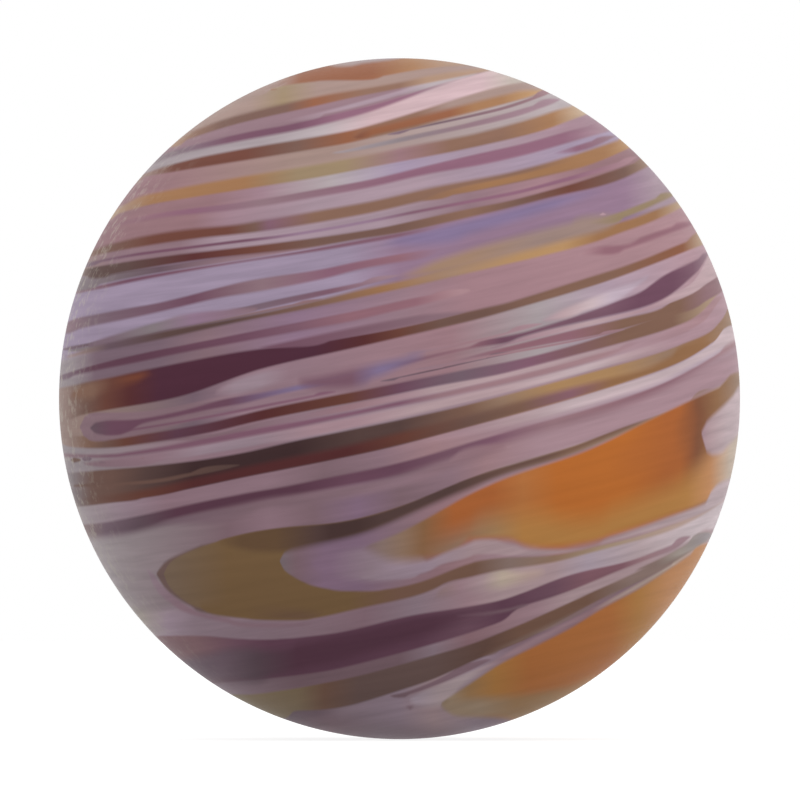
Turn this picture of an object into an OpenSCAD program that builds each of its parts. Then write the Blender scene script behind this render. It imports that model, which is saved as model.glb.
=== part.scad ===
// Glass marble: one solid ball, drawn out of layers and pockets of coloured glass.
// The layers run straight through the ball, so a cut at any depth shows the same swirl.
// The origin is the centre of the ball, +Z is up and the swirl faces -Y.

/* [Ball] */
// Diameter of the ball
ball_d = 16; // [12:0.5:50]

/* [Hidden] */
ball_r = ball_d / 2;
// How far the glass sheets are drawn past the ball before it trims them
sheet_overrun = ball_r / 8;

// Colours of the glass
LILAC = "#b29fae";
PALE_LILAC = "#c9b8bf";
LAVENDER = "#a89cb8";
MAUVE = "#a2828f";
PLUM = "#6f4a5c";
WINE = "#59343d";
UMBER = "#5f4540";
RUSSET = "#8a5a45";
OCHRE = "#a9794a";
OLIVE = "#7d6641";
AMBER = "#bb6d2c";

// Layers of glass from the bottom up. Each fills the ball from its lower edge to the next one's.
// An edge is an arc across the ball: its height at the left rim and at the right rim, and how far
// it sags between them, all in hundredths of the ball's radius.
BASE_GLASS = LILAC;
LAYERS = [
    [OLIVE, -98, -36, 19],
    [LILAC, -92, -34, 14.8],
    [UMBER, -57, 5.5, 9.1],
    [MAUVE, -56, 6.5, 7],
    [PLUM, -43, 13, 7.8],
    [PALE_LILAC, -39, 15.5, 7.2],
    [UMBER, -33, 20, 7],
    [PALE_LILAC, -23, 23.5, 6.5],
    [RUSSET, -17, 31, 5.7],
    [LILAC, -14.5, 34.5, 5.5],
    [UMBER, -1, 50, 6.6],
    [MAUVE, 3, 53, 7.3],
    [PLUM, 5, 54.5, 3.8],
    [MAUVE, 7.5, 55.5, 3],
    [OCHRE, 11.5, 61, 4.5],
    [LAVENDER, 12.6, 68, 4],
    [PLUM, 20, 73, 6.5],
    [LILAC, 23.5, 74, 6.7],
    [UMBER, 34.5, 79, 8.7],
    [LILAC, 37.5, 81, 8.5],
    [UMBER, 42, 86, 7.7],
    [LILAC, 44.5, 90, 8],
    [MAUVE, 50, 95, 9],
    [PALE_LILAC, 51.5, 98, 8.7],
    [OCHRE, 56, 100, 9],
    [PALE_LILAC, 60, 106, 9.7],
    [RUSSET, 65, 112, 10],
    [PALE_LILAC, 68, 120, 11],
    [OCHRE, 75.5, 130, 11.7],
    [RUSSET, 80, 136, 13],
];

// Pockets of glass between the layers. A pocket is a lens between two ends, with how far its upper
// edge rises and its lower edge drops from the line between them, in hundredths of the radius.
POCKETS = [
    [PLUM, [-84, -79], [64, -52], 2, 9],
    [OLIVE, [-72, -52], [30, -50], 12, 11],
    [LAVENDER, [-37, -48], [50, -42], 7, 6],
    [AMBER, [-8, -44], [125, -8], 12, 15],
    [AMBER, [10, -92], [104, -44], 6, 30],
    [PALE_LILAC, [86, -10], [116, -9], 6, 6],
    [OCHRE, [5, -9], [112, 26], 0.5, 6],
    [WINE, [-118, -8], [-2, 18.5], 6.2, 3],
    [PLUM, [50, 22.5], [93, 42], 2.3, 4],
];

module ball() {
    sphere(r = ball_r, $fn = 128);
}

// Disc whose edge passes through both ends of a line and bulges to the left of it
module disc_through(from, to, bulge) {
    along = to - from;
    half = norm(along) / 2;
    disc_r = (half * half + bulge * bulge) / (2 * bulge);
    middle = (from + to) / 2;
    left = [-along.y, along.x] / norm(along);
    translate(middle + left * (bulge - disc_r)) circle(r = disc_r, $fn = 256);
}

// Runs a flat outline, drawn in hundredths of the radius, through the ball from front to back
module sheet() {
    rotate([90, 0, 0])
        linear_extrude(height = 2 * (ball_r + sheet_overrun), center = true)
            scale(ball_r / 100) children();
}

// All that lies above a layer's lower edge
module above(layer) {
    sheet() disc_through([100, layer[2]], [-100, layer[1]], layer[3]);
}

module pocket_sheet(pocket) {
    sheet() intersection() {
        disc_through(pocket[2], pocket[1], pocket[4]);
        disc_through(pocket[1], pocket[2], pocket[3]);
    }
}

module all_pockets() {
    for (pocket = POCKETS) pocket_sheet(pocket);
}

module base_glass() {
    color(BASE_GLASS) difference() {
        ball();
        above(LAYERS[0]);
        all_pockets();
    }
}

module layer_glass(i) {
    color(LAYERS[i][0]) difference() {
        intersection() {
            ball();
            above(LAYERS[i]);
        }
        if (i + 1 < len(LAYERS)) above(LAYERS[i + 1]);
        all_pockets();
    }
}

// A pocket lies over the ones before it
module pocket_glass(i) {
    color(POCKETS[i][0]) difference() {
        intersection() {
            ball();
            pocket_sheet(POCKETS[i]);
        }
        if (i + 1 < len(POCKETS))
            for (j = [i + 1 : len(POCKETS) - 1]) pocket_sheet(POCKETS[j]);
    }
}

// The colours are fused into one ball
module marble() {
    base_glass();
    for (i = [0 : len(LAYERS) - 1]) layer_glass(i);
    for (i = [0 : len(POCKETS) - 1]) pocket_glass(i);
}

marble();
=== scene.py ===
"""Glass marble: the drawn-out streaks, the satin surface and its wear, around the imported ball."""
import math
import random

import bpy
import numpy as np
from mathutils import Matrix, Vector


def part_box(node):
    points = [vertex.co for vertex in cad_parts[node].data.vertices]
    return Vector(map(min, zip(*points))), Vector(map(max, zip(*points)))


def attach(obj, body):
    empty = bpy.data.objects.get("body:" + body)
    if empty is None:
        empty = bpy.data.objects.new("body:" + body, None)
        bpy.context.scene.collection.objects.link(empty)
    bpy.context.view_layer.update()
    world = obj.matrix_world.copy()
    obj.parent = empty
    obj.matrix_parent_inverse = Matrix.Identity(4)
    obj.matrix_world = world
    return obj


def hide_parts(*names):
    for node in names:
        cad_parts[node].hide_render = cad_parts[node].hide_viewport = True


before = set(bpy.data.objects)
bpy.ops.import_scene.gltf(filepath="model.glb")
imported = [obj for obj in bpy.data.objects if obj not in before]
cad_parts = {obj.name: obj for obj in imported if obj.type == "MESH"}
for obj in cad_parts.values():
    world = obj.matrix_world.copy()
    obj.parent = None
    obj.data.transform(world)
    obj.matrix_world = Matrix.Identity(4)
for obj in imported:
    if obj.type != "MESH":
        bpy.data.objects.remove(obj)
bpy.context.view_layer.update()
random.seed(16)

low, high = (Vector(corner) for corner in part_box("marble"))
CENTRE = (low + high) / 2
R = (high.z - low.z) / 2

# Colours of the glass, as sRGB
PALETTE = {
    "frost": (206, 190, 194), "cream": (194, 176, 160), "blush": (188, 162, 154),
    "pink_white": (190, 170, 174), "pale_lilac": (180, 163, 175), "shell": (177, 152, 156),
    "lilac": (163, 143, 156), "dim_lilac": (149, 129, 139), "dusty_pink": (165, 135, 143),
    "pearl": (158, 147, 150), "grey_pearl": (144, 133, 137), "slate": (124, 113, 117),
    "lavender": (145, 130, 150), "violet": (122, 106, 136), "heather": (135, 109, 129),
    "mauve": (142, 115, 125), "dim_mauve": (129, 104, 112), "dusk": (114, 94, 105),
    "rose_mauve": (150, 117, 124), "rose": (159, 126, 131), "dusk_rose": (134, 103, 108),
    "deep_rose": (136, 97, 107), "orchid": (126, 89, 106), "thistle": (116, 84, 98),
    "plum": (104, 71, 87), "deep_plum": (91, 60, 74), "wine": (76, 44, 57), "umber": (64, 46, 47),
    "maroon": (84, 46, 47), "russet": (101, 63, 54), "walnut": (86, 66, 63), "cocoa": (106, 80, 72),
    "brown": (122, 92, 78), "taupe": (142, 120, 113), "tan": (148, 120, 101), "sand": (170, 147, 124),
    "beige": (164, 152, 144), "ochre": (142, 104, 74), "honey": (166, 130, 92), "clay": (128, 82, 60),
    "rust": (116, 67, 49), "olive": (121, 95, 67), "dark_olive": (104, 80, 60), "khaki": (136, 117, 93),
    "amber": (186, 109, 52), "burnt": (171, 100, 56), "gold": (182, 130, 74), "ginger": (181, 115, 66),
    "apricot": (196, 141, 98), "shadow": (96, 77, 86), "khaki_white": (176, 168, 156),
    "dim_brown": (112, 90, 86), "dim_olive": (121, 101, 84), "dim_umber": (76, 57, 55),
}

# Broad fields of glass from the bottom up, each painted over all that lies above its edge: how soft
# the edge is, the edge as (across, height) and the colours as (across, name). Lengths in the swirl are
# hundredths of the ball's radius from its centre, seen from the front.
GROUND = [(-24, "dusk"), (-17, "dim_lilac"), (0, "lilac"), (10, "shell"), (22, "lilac"), (36, "mauve")]
FIELDS = [
    # mauve above the lowest olive layer
    (2, [(-60, -90), (-45, -88), (-30, -88), (-15, -86), (0, -82), (15, -77), (30, -71), (45, -64.5),
         (60, -57), (75, -50), (85, -44)],
     [(-55, "dim_lilac"), (-30, "dim_mauve"), (0, "dim_mauve"), (10, "dim_lilac"), (20, "rose_mauve"),
      (40, "dusty_pink"), (50, "shell")]),
    # lilac above the plum band
    (2, [(-80, -69), (-60, -74), (-40, -76), (-20, -74), (0, -69), (20, -64.5), (40, -57.5), (55, -52),
         (65, -49), (80, -44), (90, -38)],
     [(-76, "beige"), (-68, "lilac"), (-60, "dim_lilac"), (-10, "mauve"), (5, "dim_lilac"),
      (20, "dusty_pink"), (30, "shell"), (45, "shell"), (55, "pale_lilac"), (70, "pink_white"),
      (85, "frost")]),
    # mauve above the olive lobe and the amber lens
    (5, [(-100, -58), (-72, -62), (-50, -52), (-30, -42), (0, -33), (30, -21), (60, -12), (85, -2),
         (100, 6)],
     [(-85, "pearl"), (-50, "dim_mauve"), (-38, "mauve"), (-25, "dim_mauve"), (-12, "heather"),
      (0, "dim_mauve"), (15, "mauve"), (25, "rose"), (40, "dusty_pink")]),
    # pale band under the umber one
    (3, [(-100, -39), (-90, -39), (-70, -35), (-50, -30), (-30, -26.5), (0, -21), (30, -11.5), (60, -3),
         (90, 10), (100, 15)],
     [(-95, "pearl"), (-80, "dim_lilac"), (-68, "mauve"), (-38, "mauve"), (-22, "dim_mauve"),
      (-5, "mauve"), (10, "rose"), (30, "dusty_pink"), (100, "pale_lilac")]),
    # over the umber band
    (3, [(-100, -26), (-90, -26), (-60, -22), (-30, -16), (0, -10), (30, -2.5), (60, 5.5), (90, 17),
         (100, 23)],
     [(-95, "grey_pearl"), (-60, "mauve"), (-40, "mauve"), (-20, "dim_lilac"), (100, "dusty_pink")]),
    # under the dark streak
    (2, [(-100, -13), (-90, -13.5), (-60, -9.5), (-30, -2.8), (0, 3), (30, 8.7), (60, 16.5), (85, 24),
         (100, 31)],
     [(-90, "taupe"), (-60, "dusk"), (-45, "mauve"), (-32, "mauve"), (15, "rose_mauve"), (40, "pearl"),
      (60, "lilac"), (85, "dusty_pink")]),
    # over the dark streak
    (3, [(-100, -1), (-90, 0.5), (-60, 7), (-30, 13.5), (0, 19.3), (30, 26.5), (60, 35.5), (85, 45),
         (100, 51)],
     [(-96, "grey_pearl"), (-89, "dusk"), (-70, "dusk"), (-56, "dim_mauve"), (-30, "heather"),
      (0, "mauve"), (20, "rose_mauve"), (90, "rose")]),
    # lavender, and heather to the right
    (2, [(-100, 11), (-90, 14), (-60, 20.2), (-30, 26.2), (0, 32.8), (30, 39.7), (60, 48.5), (82, 56.8),
         (100, 64)], [(-15, "lavender"), (0, "heather"), (66, "heather"), (75, "dim_lilac")]),
    # pale stripes about the thin plum line
    (2, [(-100, 36), (-90, 36.7), (-60, 41.3), (-30, 44.7), (0, 49.4), (30, 56), (60, 64.5), (75, 70),
         (100, 82)],
     [(-95, "taupe"), (-84, "dim_mauve"), (-64, "dim_mauve"), (-52, "dim_lilac"), (-5, "dim_lilac"),
      (20, "dim_mauve"), (42, "rose_mauve"), (56, "dusk_rose")]),
    # lilac over the upper umber band
    (2, [(-100, 40), (-88, 43.5), (-60, 48), (-30, 52), (0, 57.7), (30, 63.6), (60, 72.5), (75, 78),
         (100, 90)],
     [(-60, "dusk_rose"), (-50, "mauve"), (-25, "dim_lilac"), (5, "dim_lilac"), (60, "lavender")]),
    # pale, under the ochre band
    (2, [(-100, 50), (-85, 53), (-60, 55), (-30, 59), (0, 64.7), (30, 71.2), (60, 78.3), (100, 96)],
     [(-55, "dusk_rose"), (-40, "mauve"), (-20, "pearl"), (0, "lavender"), (30, "dim_lilac"),
      (50, "mauve")]),
    # over the ochre band
    (2, [(-100, 52), (-80, 56.5), (-60, 61), (-30, 65.3), (0, 71), (30, 77.5), (52, 84.5), (100, 105)],
     [(-70, "dusk_rose"), (-30, "taupe"), (-18, "taupe"), (50, "pearl")]),
    # bright glass over the russet band
    (2, [(-100, 62), (-75, 65.5), (-60, 69), (-30, 73.7), (0, 80.7), (30, 89), (100, 110)],
     [(-40, "grey_pearl"), (-22, "pearl"), (-8, "shell"), (24, "shell"), (33, "beige")]),
    # mauve over the upper rose streak
    (2, [(-100, 66), (-70, 70.7), (-60, 73.7), (-30, 79.8), (0, 87.6), (20, 94.6), (100, 120)],
     [(0, "dim_mauve"), (8, "pearl")]),
    # at the very top
    (2, [(-100, 70), (-63, 76.5), (-50, 81.2), (-30, 85.7), (0, 91.6), (24, 96.2), (100, 125)],
     [(-44, "taupe"), (-34, "khaki"), (-24, "taupe")]),
]

# Streaks and lenses of glass, painted in this order: how soft the upper and the lower edge are, the
# edges as (across, upper height, lower height) and the colours as (across, name). A height of 110 or
# -110 keeps an edge out of sight beyond the rim.
STREAKS = [
    # painted shade, darker along the bottom rim under the lowest lilac
    (7, 2, [(-46, -89.5, -110), (-34, -91, -110), (-28, -91.5, -110), (4, -96, -110), (16, -98, -110)],
     [(-34, "dusk"), (-20, "mauve"), (-6, "dim_lilac"), (16, "mauve")]),
    # thin dusky line over the lowest lilac
    (1, 1, [(-3, -86.8, -86.8), (0, -86.6, -87.4), (3, -85.4, -86.4), (8, -83.6, -85),
            (12, -81.6, -83.3), (15, -79.8, -81.9), (20, -77, -80), (23, -76.6, -78.2), (27, -76, -76)],
     [(0, "dim_mauve"), (8, "mauve")]),
    # bright lilac beside it
    (1.5, 3, [(2, -87.4, -87.4), (8, -85.2, -90), (13, -83.2, -89), (18, -81, -84), (23, -78.4, -81),
              (28, -76.4, -78), (35, -72, -74.5), (50, -64.8, -67), (60, -59.3, -61), (70, -54, -56),
              (80, -48, -50), (90, -42, -44)],
     [(5, "pale_lilac"), (12, "pink_white"), (20, "pink_white"), (30, "dusty_pink"), (45, "dusty_pink"),
      (56, "rose"), (62, "blush"), (78, "cream"), (85, "blush")]),
    # dark spot
    (1.6, 1.6, [(1.6, -90, -90), (3, -89.4, -90.9), (4.4, -90, -90)], [(0, "mauve")]),
    # lowest olive and umber layer
    (1, 1, [(-50, -86.8, -94), (-45, -86.8, -94), (-42, -86.7, -94), (-35, -85.3, -94),
            (-32, -85, -92.5), (-30, -84.8, -91.4), (-25, -83.6, -91.3), (-20, -82.8, -91),
            (-15, -81.7, -90), (-10, -80.4, -88.7), (-5, -79.3, -86.7), (5, -76.3, -83.8),
            (10, -74.7, -82), (15, -73.4, -80), (20, -72.2, -77), (25, -70.2, -75.4), (35, -66, -71.2),
            (40, -64, -69), (60, -54.7, -58), (70, -50.2, -53.8), (75, -48.3, -51.2),
            (80, -45.6, -48.2), (85, -42.4, -45), (90, -39.2, -41.6)],
     [(-30, "khaki"), (-22, "brown"), (-12, "dim_brown"), (10, "dim_brown"), (25, "cocoa"),
      (35, "brown"), (55, "brown"), (68, "taupe"), (80, "taupe"), (90, "beige")]),
    # lighter foot of that layer to the right
    (3, 1, [(20, -76, -76), (25, -74, -75.4), (30, -72, -73.2), (45, -65.2, -67), (50, -62.8, -64.6),
            (55, -60.2, -61.8), (60, -58, -59.2), (68, -55, -55)], [(22, "brown"), (35, "taupe")]),
    # plum band
    (1, 1, [(-80, -69.8, -100), (-68, -69.5, -100), (-60, -69.2, -90), (-57, -69.3, -85),
            (-55, -69.5, -83.6), (-45, -70.4, -82.5), (-40, -70.5, -82), (-35, -70.3, -81.5),
            (-25, -69.5, -80.2), (-20, -68.5, -79.5), (-15, -68, -78.2), (0, -63.8, -74.2),
            (5, -62.7, -73), (20, -60.6, -68.7), (25, -60, -66.8), (30, -58.8, -64.8), (35, -57.3, -61),
            (45, -52.7, -57.7), (50, -51.1, -56.2), (55, -49.8, -54), (65, -47.9, -49.6),
            (75, -44.8, -46.4), (80, -42.9, -44.3), (85, -40.2, -40.6)],
     [(-60, "dusk_rose"), (-48, "thistle"), (-38, "plum"), (5, "plum"), (20, "thistle"), (30, "plum"),
      (45, "thistle"), (55, "deep_rose"), (65, "deep_rose"), (72, "rose"), (80, "dusty_pink")]),
    # dark heart of the plum band
    (4, 5, [(-72, -78, -78), (-64, -76, -81), (-54, -74.5, -83), (-44, -73, -83), (-38, -73.5, -81),
            (-30, -71.5, -79.8), (-20, -69.5, -78), (-10, -67.5, -75), (10, -62.8, -68),
            (20, -61, -64.5), (30, -59, -61.5), (40, -55.8, -58), (50, -52, -53), (55, -50.8, -50.8)],
     [(-52, "dusk"), (-42, "shadow"), (-30, "deep_plum"), (10, "deep_plum"), (40, "thistle")]),
    # mauve thread in the plum band
    (1.2, 1.2, [(16, -63.4, -63.4), (22, -62.6, -63.8), (28, -62, -63.2), (34, -60.8, -61.6),
                (38, -60, -60)], [(16, "thistle"), (38, "dim_mauve")]),
    # mauve glass along the lower left of the olive lobe
    (1.5, 1.5, [(-74, -50, -50), (-71.5, -53, -55.5), (-67, -57, -59.8), (-62, -60.5, -62.6),
                (-56, -63, -64.6), (-50, -64.2, -65.8), (-40, -65.4, -66.8), (-25, -65.4, -65.4)],
     [(-74, "dim_lilac"), (-64, "mauve")]),
    # pale glass under the lobe's tail
    (3, 4, [(6, -57.6, -57.6), (10, -56.5, -58.3), (15, -53.5, -57.5), (20, -52, -56.5),
            (25, -51.2, -56), (30, -49.6, -55), (35, -50.2, -54), (40, -49.6, -52.5),
            (46, -48.6, -48.6)],
     [(8, "taupe"), (18, "dusty_pink"), (24, "shell"), (30, "cream"), (38, "blush")]),
    # dusky rim round the lobe's left end
    (1.6, 1.5, [(-70.5, -51.2, -51.2), (-70.3, -49.8, -52.7), (-69.5, -48.4, -54.4), (-68, -47, -56.2),
                (-66, -46, -57.8), (-63, -44.7, -59.7), (-60, -43.8, -61.1), (-56, -42.4, -62.6),
                (-50, -42, -62), (-44, -46, -56), (-38, -50, -50)], [(-70, "dim_brown")]),
    # olive lobe and its brown tail
    (1, 1.2, [(-69, -51.2, -51.2), (-68.7, -49.8, -52.8), (-67.6, -48, -55), (-66, -46.7, -56.8),
              (-63, -45.2, -59.2), (-60, -44, -60.8), (-57, -42.9, -62), (-50, -40.4, -63.6),
              (-45, -39, -64.2), (-35, -37.7, -65), (-30, -37.2, -64.8), (-25, -36.9, -64.2),
              (-20, -36.5, -63.2), (-15, -35.7, -61.8), (-10, -34.7, -60.6), (0, -31.8, -58.8),
              (5, -29.7, -57.6), (10, -27.7, -56), (15, -25.7, -53.2), (20, -23.3, -52.2),
              (25, -21.5, -51), (30, -19.7, -49.6), (42, -16.6, -48.4), (46, -15.3, -47.7),
              (55, -12.5, -45), (65, -9, -42.4), (75, -5.2, -40.3), (80, -3.2, -38.5), (85, -1, -36.2),
              (90, 1.6, -33.7), (95, 4, -30.2), (101, 7, -26)],
     [(-66, "dim_olive"), (-50, "olive"), (-15, "olive"), (0, "brown"), (22, "brown"), (32, "taupe"),
      (45, "tan"), (60, "sand"), (85, "blush")]),
    # umber foot of the lobe
    (5, 1.5, [(-60, -59, -59), (-52, -59.5, -63.6), (-42, -60, -64.4), (-30, -61.5, -64.4),
              (-20, -62, -62)], [(-45, "olive"), (-20, "cocoa")]),
    # lilac lobe
    (1.5, 1.2, [(-35, -47.3, -47.3), (-34.8, -46, -48.6), (-33.8, -44.6, -50), (-32, -43.2, -51.4),
                (-30, -42.5, -52.4), (-27, -42, -54), (-25, -41.5, -54.7), (-20, -40.8, -55.7),
                (-15, -39.8, -56.4), (-10, -38.6, -56.2), (-5, -36.6, -55.8), (0, -34.2, -55),
                (5, -32, -54), (10, -29.6, -52.2), (15, -27.4, -49.9), (20, -25, -47.7),
                (25, -23.2, -46.4), (30, -21.8, -46), (40, -19, -46.4), (45, -17.7, -45.8),
                (50, -16.2, -44.7), (55, -14.3, -43.7), (65, -10, -41.2), (70, -8, -40.4),
                (80, -4.4, -37), (90, 0.6, -32.6), (95, 3, -29), (101, 6, -25)],
     [(-36, "slate"), (-30, "dim_mauve"), (-22, "heather"), (-12, "heather"), (0, "mauve"),
      (12, "rose_mauve"), (20, "rose"), (26, "dusty_pink"), (60, "dusty_pink"), (90, "shell")]),
    # brighter heart of the lilac lobe
    (3, 3, [(-26, -48, -48), (-20, -45.5, -51), (-10, -43.5, -53), (-2, -43, -52.5), (8, -48, -48)],
     [(-20, "heather"), (-8, "dim_lilac"), (0, "lilac")]),
    # dark streak over the lilac lobe
    (1, 3, [(-56, -42, -42), (-45, -39, -44), (-40, -38.3, -44.8), (-36, -37.8, -44.8),
            (-32, -37.4, -44.4), (-25, -36.9, -42.5), (-20, -36.5, -41.7), (-15, -35.7, -40.6),
            (-10, -34.7, -39.3), (-5, -33.2, -37.3), (0, -31.8, -34.9), (10, -27.7, -30.2),
            (15, -25.2, -28.4), (20, -23, -26.4), (30, -19.7, -22.3), (35, -18.7, -20.7),
            (45, -15.7, -18), (50, -14, -16.4), (55, -12.5, -14.6), (60, -9.8, -12), (65, -8.2, -10.6),
            (75, -4.9, -6.4), (85, -1, -1.8), (95, 4, 4)],
     [(-56, "olive"), (-46, "dark_olive"), (-36, "dark_olive"), (-24, "walnut"), (-20, "dim_umber"),
      (-12, "dim_umber"), (-5, "walnut"), (15, "walnut"), (30, "cocoa"), (42, "cocoa"), (50, "brown"),
      (68, "brown"), (90, "tan")]),
    # amber lens
    (1.5, 5, [(-13, -43.5, -43.5), (-7, -41.8, -46), (-3, -40.6, -47), (0, -39, -47.5),
              (5, -36.8, -47.5), (10, -33.6, -46.5), (15, -30.6, -44.5), (20, -28, -41.6),
              (25, -25.4, -40.8), (30, -23.2, -40.8), (35, -21.6, -42), (40, -20, -43.4),
              (45, -18.4, -44), (50, -16.9, -43.4), (55, -15.1, -42.3), (60, -13, -40.6),
              (70, -7.4, -37.8), (75, -5.4, -36.3), (90, 2.2, -30.4), (95, 4, -26), (101, 8, -21)],
     [(-12, "dim_mauve"), (-5, "taupe"), (1, "tan"), (7, "ochre"), (16, "burnt"), (27, "burnt"),
      (36, "ginger"), (46, "amber"), (66, "amber"), (78, "burnt"), (82, "burnt"), (87, "clay"),
      (93, "ochre"), (99, "tan")]),
    # golden foot of the amber lens
    (11, 3, [(2, -45, -45), (10, -40, -46), (20, -35.5, -41.4), (30, -32.5, -40.6), (40, -33.5, -43),
             (52, -34, -42.3), (62, -31.5, -39.8), (72, -28, -36.8), (80, -24.5, -33.8), (88, -19, -31),
             (95, -12, -26), (101, -8, -21)],
     [(2, "ochre"), (16, "tan"), (28, "honey"), (36, "gold"), (84, "gold"), (91, "apricot"),
      (97, "cream")]),
    # deeper amber along its top
    (5, 9, [(40, -23, -23), (50, -20.5, -25), (60, -16, -24), (70, -11.5, -21), (80, -7, -17),
            (90, -2, -6)], [(60, "amber"), (80, "burnt"), (88, "clay")]),
    # pink patch at the right rim
    (2.5, 2.5, [(88.2, -10, -10), (88.6, -8.4, -12.2), (89.6, -6.6, -14.6), (91.4, -5, -16.4),
                (94, -3, -16), (96, -1.2, -14), (98, 1, -12.4), (100, 3.5, -10)],
     [(88, "dusty_pink"), (91, "shell"), (96, "pink_white")]),
    # lower amber pocket
    (1.5, 3, [(11, -89.6, -89.6), (13, -88.3, -91), (15, -86.8, -91.8), (17, -85.6, -92.2),
              (20, -84, -92.6), (27, -78.7, -93), (30, -76.9, -93), (33, -75.6, -94), (35, -74.5, -96),
              (37, -73.4, -100), (43, -70.8, -100), (50, -67, -100), (52, -66, -100), (57, -62.3, -100),
              (60, -60.8, -100), (68, -56.8, -100), (70, -55.7, -95), (75, -52.5, -95),
              (78, -50.5, -90), (83, -47.2, -90), (86, -45.2, -80), (90, -42.5, -70)],
     [(11, "khaki"), (15, "sand"), (20, "honey"), (28, "gold"), (38, "ginger"), (62, "ginger"),
      (70, "gold"), (79, "apricot")]),
    # olive foot of the lower amber pocket
    (4, 3, [(14, -88.5, -91.5), (20, -88, -93), (28, -87.2, -93), (36, -87, -96), (44, -86, -100),
            (52, -84, -100), (60, -82, -100), (66, -80, -80)],
     [(24, "sand"), (34, "honey"), (44, "honey"), (60, "gold")]),
    # pale line under the upper amber lens
    (2, 1.2, [(-14, -52, -52), (-4, -50.5, -52.6), (6, -48, -51), (13, -44.6, -48), (20, -42.2, -46.4),
              (25, -41, -45.2), (30, -42, -45.6), (35, -43, -45.8), (40, -44, -46), (50, -43.7, -44.9),
              (60, -40.8, -42.3), (70, -38, -40), (80, -34.6, -36.6), (90, -30.6, -32.8),
              (101, -23, -25)],
     [(-14, "dim_lilac"), (8, "lilac"), (22, "shell"), (60, "shell"), (90, "pink_white")]),
    # olive line at the right
    (1, 1.5, [(66, -51, -51), (70, -49.5, -50.6), (75, -47.5, -49.5), (80, -45, -47.3),
              (85, -42.3, -44.8), (90, -39.3, -41.5)], [(75, "taupe"), (82, "beige"), (90, "pearl")]),
    # plum line that turns to rose
    (1.2, 3.5, [(-100, -37.5, -41.5), (-90, -37, -41), (-85, -36, -40.3), (-80, -35, -40),
                (-75, -34.2, -38.5), (-65, -31.8, -35.3), (-60, -30.5, -34.2), (-45, -27.4, -30.8),
                (-40, -26.6, -29.8), (-35, -26, -29), (-30, -25, -28.3), (-20, -22.8, -27),
                (-15, -21.8, -26), (-5, -20, -24), (0, -18.9, -22.8), (10, -15.8, -19),
                (15, -14.5, -18), (30, -10, -13), (35, -8.3, -11.5), (50, -4.4, -7.5), (55, -3, -6),
                (70, 1.7, -1), (75, 3.7, 1.5), (80, 5.9, 3.5), (85, 8.5, 6.3), (90, 11.2, 9),
                (95, 14.5, 12), (100, 18, 15)],
     [(-97, "taupe"), (-86, "dusk"), (-76, "shadow"), (-65, "deep_plum"), (-30, "deep_plum"),
      (-15, "plum"), (0, "plum"), (14, "thistle"), (27, "orchid"), (45, "rose_mauve"),
      (80, "deep_rose"), (97, "rose")]),
    # soft rose fringe under it
    (2, 3, [(-80, -38, -38), (-60, -33.5, -36.5), (-40, -29.5, -32), (-20, -26.5, -29.5),
            (0, -22.5, -25.5), (15, -17.5, -20), (30, -13, -15)],
     [(-80, "dusk"), (-40, "dim_mauve"), (0, "mauve"), (30, "rose_mauve")]),
    # umber band
    (1, 1, [(-100, -22, -32.5), (-95, -21.5, -32), (-80, -20.3, -29.8), (-75, -20, -29),
            (-60, -18.3, -26), (-55, -17.5, -24.9), (-45, -15.6, -22.5), (-40, -14.8, -21.6),
            (-30, -12, -20), (-5, -7.3, -14.8), (0, -6.2, -13.5), (10, -4, -10.6), (15, -3, -9.6),
            (20, -1.8, -8.2), (50, 6, -0.1), (55, 7.5, 1.4), (70, 11.3, 6), (75, 13, 7.8),
            (80, 15, 9.8), (85, 16.5, 12.2), (90, 19, 15.3), (95, 24, 18.5), (100, 28, 22)],
     [(-97, "slate"), (-90, "cocoa"), (-84, "cocoa"), (-74, "walnut"), (-60, "umber"), (-30, "umber"),
      (-12, "walnut"), (0, "walnut"), (10, "cocoa"), (20, "brown"), (30, "tan"), (45, "honey"),
      (62, "honey"), (78, "tan"), (88, "ochre"), (97, "tan")]),
    # its red-brown foot
    (2.5, 1, [(-95, -29.5, -29.5), (-88, -28, -30.3), (-75, -26.6, -29), (-60, -23.3, -25.9),
              (-35, -17.8, -20.6), (-25, -15.6, -18.8), (-15, -13.9, -16.9), (-8, -11.6, -15.4),
              (0, -9.6, -13.4), (5, -9, -12), (20, -4.4, -8.2), (30, -1.8, -5.5), (50, 3.2, -0.1),
              (60, 5.6, 3), (70, 8.4, 6), (80, 12.5, 9.8), (90, 17, 15.3)],
     [(-92, "cocoa"), (-75, "russet"), (-60, "maroon"), (-15, "maroon"), (2, "russet"), (20, "cocoa"),
      (35, "brown"), (50, "deep_rose"), (62, "ochre")]),
    # lighter thread in the umber band
    (0.8, 0.8, [(-95, -25.2, -25.8), (-80, -24.4, -25.2), (-60, -21.9, -22.4), (-46, -19.2, -19.2)],
     [(-75, "cocoa"), (-46, "walnut")]),
    # bright glass under the umber band at the right
    (0.8, 2.5, [(-8, -15.6, -15.6), (5, -12.4, -14), (20, -8.6, -11), (35, -4.4, -7.2),
                (50, -0.5, -3.6), (62, 3.2, 0.4), (75, 7.4, 4.6), (85, 11.8, 9), (93, 17, 13.5),
                (101, 22, 19)], [(-8, "rose"), (18, "dusty_pink"), (34, "shell"), (50, "pink_white")]),
    # bright glass over the umber band
    (1.5, 1, [(-94, -18.6, -18.6), (-85, -18, -20), (-70, -15.8, -18.4), (-55, -13, -16.2),
              (-40, -10.2, -13.4), (-10, -4.8, -7.6), (0, -2.8, -5.8), (15, 0.4, -2.4), (45, 7.2, 5.2),
              (60, 11.4, 9.2), (75, 16.2, 13.6), (88, 21.6, 19), (97, 27, 27)],
     [(-94, "dim_mauve"), (-70, "mauve"), (-58, "dim_lilac"), (-42, "dim_lilac"), (-25, "dusty_pink"),
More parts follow.
